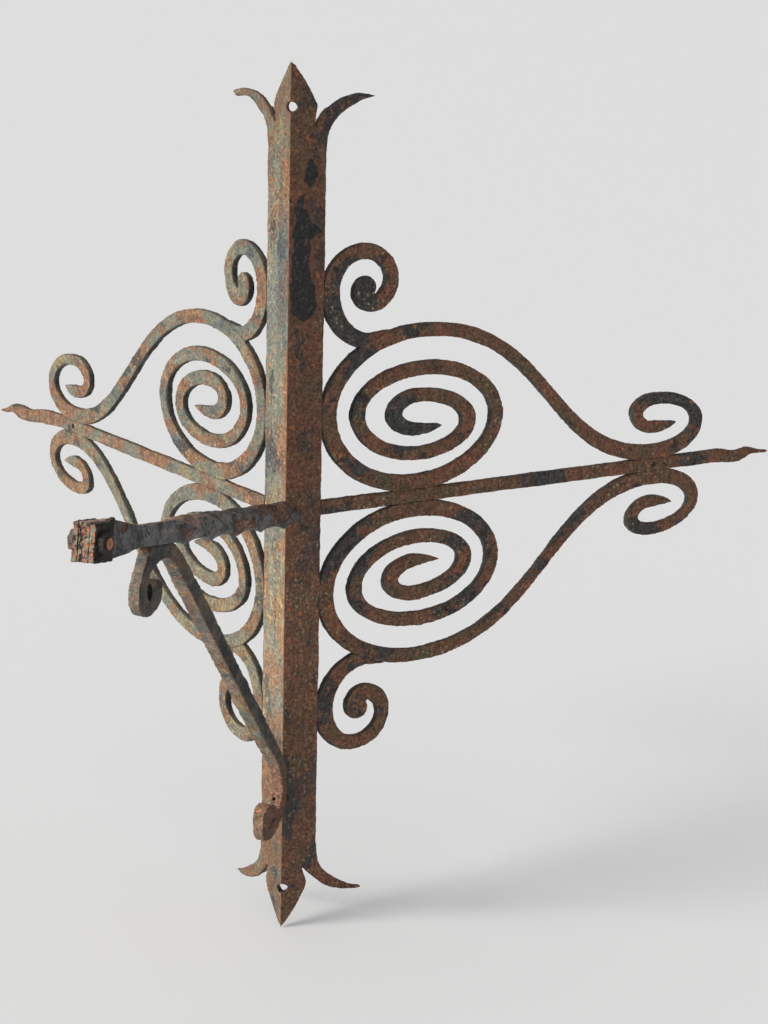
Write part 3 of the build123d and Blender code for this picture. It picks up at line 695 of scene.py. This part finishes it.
def forge(node, material, voxel=0.0012, dents=0.0013, scale=0.0009, pits=0.0004, swell=0.0003):
    """A forged copy of a CAD node: remeshed, its edges softened, its faces hammered and pitted."""
    source = frame["nodes"][node]
    mesh = source.data.copy()
    mesh.materials.clear()
    bar = bmesh.new()
    bar.from_mesh(mesh)
    bmesh.ops.remove_doubles(bar, verts=bar.verts, dist=SAME_POINT)
    bar.to_mesh(mesh)
    bar.free()
    piece = new_object("forged_" + node, mesh)
    skin = piece.modifiers.new("skin", "REMESH")
    skin.mode = "VOXEL"
    skin.voxel_size = voxel
    skin.use_smooth_shade = True
    soft = piece.modifiers.new("soft", "SMOOTH")
    soft.factor = 0.5
    soft.iterations = 1
    full = piece.modifiers.new("full", "DISPLACE")
    full.strength = swell
    full.mid_level = 0.0
    for texture, strength in ((DENTS, dents), (SCALE, scale), (PITS, pits)):
        hammer = piece.modifiers.new(texture.name, "DISPLACE")
        hammer.texture = texture
        hammer.texture_coords = "LOCAL"
        hammer.strength = strength
        hammer.mid_level = 0.5
    graph = bpy.context.evaluated_depsgraph_get()
    done = bpy.data.meshes.new_from_object(piece.evaluated_get(graph), depsgraph=graph)
    piece.modifiers.clear()
    piece.data = done
    bpy.data.meshes.remove(mesh)
    done.materials.clear()
    done.materials.append(material)
    for polygon in done.polygons:
        polygon.use_smooth = True
    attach(piece, source["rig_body"])
    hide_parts(node)
    return piece


PLAY = 0.0002  # between the tongue and each cheek


def keep_apart(piece, inner, outer):
    """Holds a piece of the end joint between two distances from the arm's middle plane."""
    way, out = Vector(ARM_RIGHT), Vector(ARM_OUT)
    for vertex in piece.data.vertices:
        side = vertex.co.dot(way)
        kept = math.copysign(min(max(abs(side), inner), outer), side)
        if vertex.co.dot(out) > TONGUE_FROM and kept != side:
            vertex.co += way * (kept - side)


left_iron = wing_iron("left_wing_iron", LEFT_FACE, RIGHT_FACE, patina, stretch=(0.6, 0.6, 1.0))
right_iron = wing_iron(
    "right_wing_iron", RIGHT_FACE, LEFT_FACE, rust, stretch=(0.75, 0.75, 1.0), slate_more=0.012
)
forge("upright", upright_iron())
for side, material in (("left", left_iron), ("right", right_iron)):
    forge(side + "_wing_bar", material)
    for level in ("upper", "lower"):
        forge(f"{side}_{level}_scroll", material)
        forge(f"{side}_{level}_crook", material)
arm = forge("arm", arm_iron(), voxel=0.001, dents=0.0006, pits=0.0005)
keep_apart(arm, 0.0, TONGUE_HALF)
forge("brace", brace_iron())
cheeks = cheek_iron()
for node in ("left_cheek", "right_cheek"):
    cheek = forge(node, cheeks, voxel=0.0007, dents=0.001, scale=0.0022, pits=0.0012)
    keep_apart(cheek, TONGUE_HALF + PLAY, 1.0)
bolts = bolt_iron()
for node in ("end_bolt", "end_nut"):
    forge(
        node, bolts, voxel=0.0006, dents=0.0003, scale=0.0008, pits=0.0006, swell=-0.0001
    )


# ---------------------------------------------------------------- floor and light
FLOOR_HALF = 160.0
FLOOR_GAP = 0.0004  # the floor lies just under the lowest point
WALL_RADIUS = 60.0
WALL_TOP = 45.0


def floor():
    height = cad_box[0].z - FLOOR_GAP
    mesh = bpy.data.meshes.new("floor")
    corners = [(x * FLOOR_HALF, y * FLOOR_HALF, height) for x, y in ((-1, -1), (1, -1), (1, 1), (-1, 1))]
    mesh.from_pydata(corners, [], [(0, 1, 2, 3)])
    ground = new_object("floor", mesh)
    s = Surface("pale_cloth")
    weave = s.noise(700, 2, 0.5)
    colour = s.ramp(weave, (0.3, (0.855, 0.855, 0.857)), (0.7, (0.885, 0.885, 0.885)))
    mesh.materials.append(s.done(colour, weave, 0.95, 0.0001))


def backdrop():
    """A plain pale wall all round, far off, that hides the floor's far edge; only the camera sees it."""
    sides = 96
    bottom = cad_box[0].z - 1.0
    points, faces = [], []
    for i in range(sides):
        turn = 2 * math.pi * i / sides
        x, y = WALL_RADIUS * math.cos(turn), WALL_RADIUS * math.sin(turn)
        points += [(x, y, bottom), (x, y, WALL_TOP)]
        j = (i + 1) % sides
        faces.append((2 * i, 2 * j, 2 * j + 1, 2 * i + 1))
    mesh = bpy.data.meshes.new("backdrop")
    mesh.from_pydata(points, [], faces)
    wall = new_object("backdrop", mesh)
    wall.visible_diffuse = wall.visible_glossy = wall.visible_shadow = False
    s = Surface("pale_wall")
    brown_by_height = s.add("ShaderNodeEmission")
    brown_by_height.inputs["Color"].default_value = (0.735, 0.735, 0.735, 1.0)
    s.feed(s.add("ShaderNodeOutputMaterial").inputs["Surface"], brown_by_height.outputs[0])
    mesh.materials.append(s.material)


KEY_FROM = Vector((-0.80, -0.52, 0.30))
SKY_LEFT, SKY_RIGHT = 0.66, 0.30  # how bright the room is at each end of the X axis


def key_light():
    """One broad soft lamp from the left, in front of the corner."""
    data = bpy.data.lights.new("key", "SUN")
    data.energy = 3.9
    data.angle = math.radians(28)
    data.color = (1.0, 0.985, 0.96)
    key = new_object("key", data)
    key.rotation_mode = "QUATERNION"
    key.rotation_quaternion = (-KEY_FROM).to_track_quat("-Z", "Y")


def studio():
    """A plain pale room, brighter on the left."""
    world = bpy.data.worlds.new("studio")
    bpy.context.scene.world = world
    world.use_nodes = True
    tree = world.node_tree
    tree.nodes.clear()
    place = tree.nodes.new("ShaderNodeTexCoord")
    split = tree.nodes.new("ShaderNodeSeparateXYZ")
    span = tree.nodes.new("ShaderNodeMapRange")
    sky = tree.nodes.new("ShaderNodeBackground")
    out = tree.nodes.new("ShaderNodeOutputWorld")
    tree.links.new(place.outputs["Generated"], split.inputs[0])
    tree.links.new(split.outputs[0], span.inputs[0])
    for socket, number in zip(span.inputs[1:5], (-1.0, 1.0, SKY_LEFT, SKY_RIGHT)):
        socket.default_value = number
    tree.links.new(span.outputs[0], sky.inputs["Strength"])
    tree.links.new(sky.outputs[0], out.inputs["Surface"])
    sky.inputs["Color"].default_value = (0.98, 0.99, 1.0, 1.0)


floor()
backdrop()
key_light()
studio()
